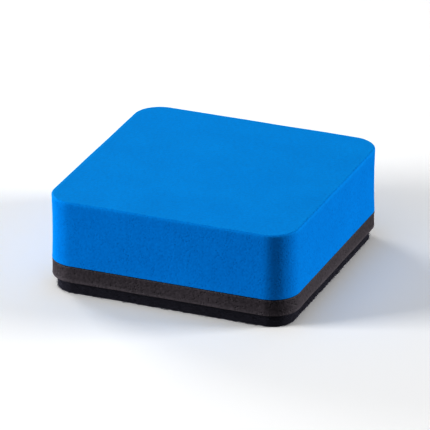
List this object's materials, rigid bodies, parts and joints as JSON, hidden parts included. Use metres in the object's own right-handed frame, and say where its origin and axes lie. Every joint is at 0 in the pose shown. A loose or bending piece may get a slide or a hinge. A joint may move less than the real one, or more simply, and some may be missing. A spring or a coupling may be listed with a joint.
{
  "type": "chalkboard eraser",
  "caption": "Small square board eraser: a thick blue foam grip block on a thin charcoal foam layer with a hidden disc magnet and an inset dark felt wiping pad.",
  "frame": {"origin": "middle of the felt's wiping face, the face that the eraser rests on", "axes": "+Z square to the wiping face, out through the flat top of the blue grip block; X and Y along the sides of the square"},
  "size_m": [0.05, 0.05, 0.0192],
  "materials": {
    "blue_foam": "matte",
    "charcoal_foam": "matte",
    "felt": "matte",
    "ferrite": "satin",
    "glue": "gloss"
  },
  "bodies": {
    "root": {"grip_block": "blue_foam", "block_glue_film": "glue", "carrier_layer": "charcoal_foam", "magnet": "ferrite", "felt_glue_film": "glue", "felt_pad": "felt"}
  },
  "joints": []
}
